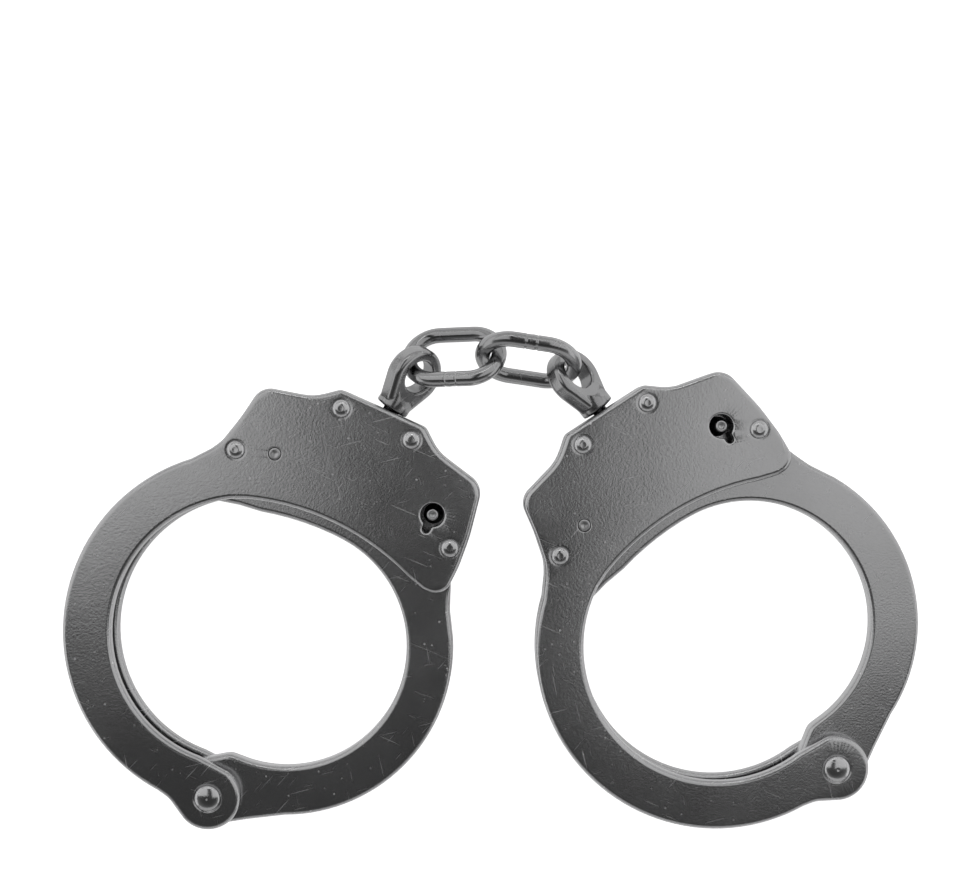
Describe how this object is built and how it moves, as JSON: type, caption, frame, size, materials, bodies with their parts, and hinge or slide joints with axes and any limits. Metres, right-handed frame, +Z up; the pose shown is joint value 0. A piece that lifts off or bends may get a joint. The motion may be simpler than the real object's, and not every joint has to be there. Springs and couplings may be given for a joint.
{
  "type": "handcuffs",
  "caption": "Chain-linked handcuffs with swing-through ratchet strands, riveted double-plate cases, swivels and welded links, lying flat and closed.",
  "frame": {"origin": "centre of the footprint on the surface that the rivet heads rest on", "axes": "+X along the pair from the left cuff to the right one, +Y towards the chain, +Z up through the keyhole side"},
  "size_m": [0.1748, 0.1028, 0.0142],
  "materials": {
    "plate_steel": "satin nickel, tumbled, fine speckle",
    "strand_steel": "satin nickel, tumbled, fine speckle",
    "frame_steel": "plain nickel on unground edges",
    "rivet_steel": "polished, lightly worn",
    "pin_steel": "ground flush",
    "spring_steel": "tempered spring steel",
    "lock_steel": "heat treated, lightly oiled",
    "swivel_steel": "bright nickel",
    "chain_steel": "bright nickel, weld seam"
  },
  "bodies": {
    "left_case": {"left_front_plate": "plate_steel", "left_back_plate": "plate_steel", "left_case_frame": "frame_steel", "left_case_rivets": "rivet_steel", "left_hinge_rivet": "rivet_steel", "left_key_post": "pin_steel", "left_pawl_pin": "pin_steel", "left_pawl_spring": "spring_steel", "left_double_lock_spring": "spring_steel"},
    "left_strand": {"left_strand": "strand_steel"},
    "left_pawl": {"left_pawl": "lock_steel"},
    "left_double_lock_slide": {"left_double_lock_slide": "lock_steel"},
    "left_swivel": {"left_swivel": "swivel_steel"},
    "right_case": {"right_front_plate": "plate_steel", "right_back_plate": "plate_steel", "right_case_frame": "frame_steel", "right_case_rivets": "rivet_steel", "right_hinge_rivet": "rivet_steel", "right_key_post": "pin_steel", "right_pawl_pin": "pin_steel", "right_pawl_spring": "spring_steel", "right_double_lock_spring": "spring_steel"},
    "right_strand": {"right_strand": "strand_steel"},
    "right_pawl": {"right_pawl": "lock_steel"},
    "right_double_lock_slide": {"right_double_lock_slide": "lock_steel"},
    "right_swivel": {"right_swivel": "swivel_steel"},
    "left_chain_link": {"left_chain_link": "chain_steel"},
    "right_chain_link": {"right_chain_link": "chain_steel"}
  },
  "joints": [
    {"name": "left_strand_hinge", "type": "hinge", "parent": "left_case", "child": "left_strand", "pos_m": [-0.05782, -0.04483, 0.0056], "axis": [0, 0, 1], "continuous": true},
    {"name": "left_pawl_pivot", "type": "hinge", "parent": "left_case", "child": "left_pawl", "pos_m": [-0.04419, 0.02502, 0.0056], "axis": [0, 0, 1], "range_deg": [-5.5, 0], "stiffness_Nm_per_rad": 0.004, "springref_deg": -5.5},
    {"name": "left_double_lock", "type": "slide", "parent": "left_case", "child": "left_double_lock_slide", "axis": [0.9121, -0.4099, 0], "range_m": [-0.0028, 0]},
    {"name": "right_strand_hinge", "type": "hinge", "parent": "right_case", "child": "right_strand", "pos_m": [0.06993, -0.03889, 0.0056], "axis": [0, 0, 1], "continuous": true},
    {"name": "right_pawl_pivot", "type": "hinge", "parent": "right_case", "child": "right_pawl", "pos_m": [0.01869, 0.0105, 0.0056], "axis": [0, 0, 1], "range_deg": [-5.5, 0], "stiffness_Nm_per_rad": 0.004, "springref_deg": -5.5},
    {"name": "right_double_lock", "type": "slide", "parent": "right_case", "child": "right_double_lock_slide", "axis": [0.8396, 0.5432, 0], "range_m": [-0.0028, 0]},
    {"name": "left_swivel_spin", "type": "hinge", "parent": "left_case", "child": "left_swivel", "pos_m": [-0.02511, 0.02796, 0.0056], "axis": [0.5592, 0.829, 0], "continuous": true},
    {"name": "left_link_swing", "type": "hinge", "parent": "left_swivel", "child": "left_chain_link", "pos_m": [-0.01548, 0.0433, 0.0056], "axis": [0, 0, 1], "range_deg": [-2, 50]},
    {"name": "right_link_swing", "type": "hinge", "parent": "left_chain_link", "child": "right_chain_link", "pos_m": [-0.0019, 0.04456, 0.00796], "axis": [0, 0, 1], "range_deg": [-4, 50]},
    {"name": "right_swivel_swing", "type": "hinge", "parent": "right_chain_link", "child": "right_swivel", "pos_m": [0.01435, 0.04226, 0.0079], "axis": [0, 0, 1], "range_deg": [-2, 40]},
    {"name": "right_swivel_spin", "type": "hinge", "parent": "right_swivel", "child": "right_case", "pos_m": [0.02659, 0.02811, 0.0056], "axis": [-0.6143, 0.7891, 0], "continuous": true}
  ],
  "couplings": [
    {"joint": "left_double_lock", "follows": "left_pawl_pivot", "m_per_rad": 0.029169},
    {"joint": "right_double_lock", "follows": "right_pawl_pivot", "m_per_rad": 0.029169}
  ]
}
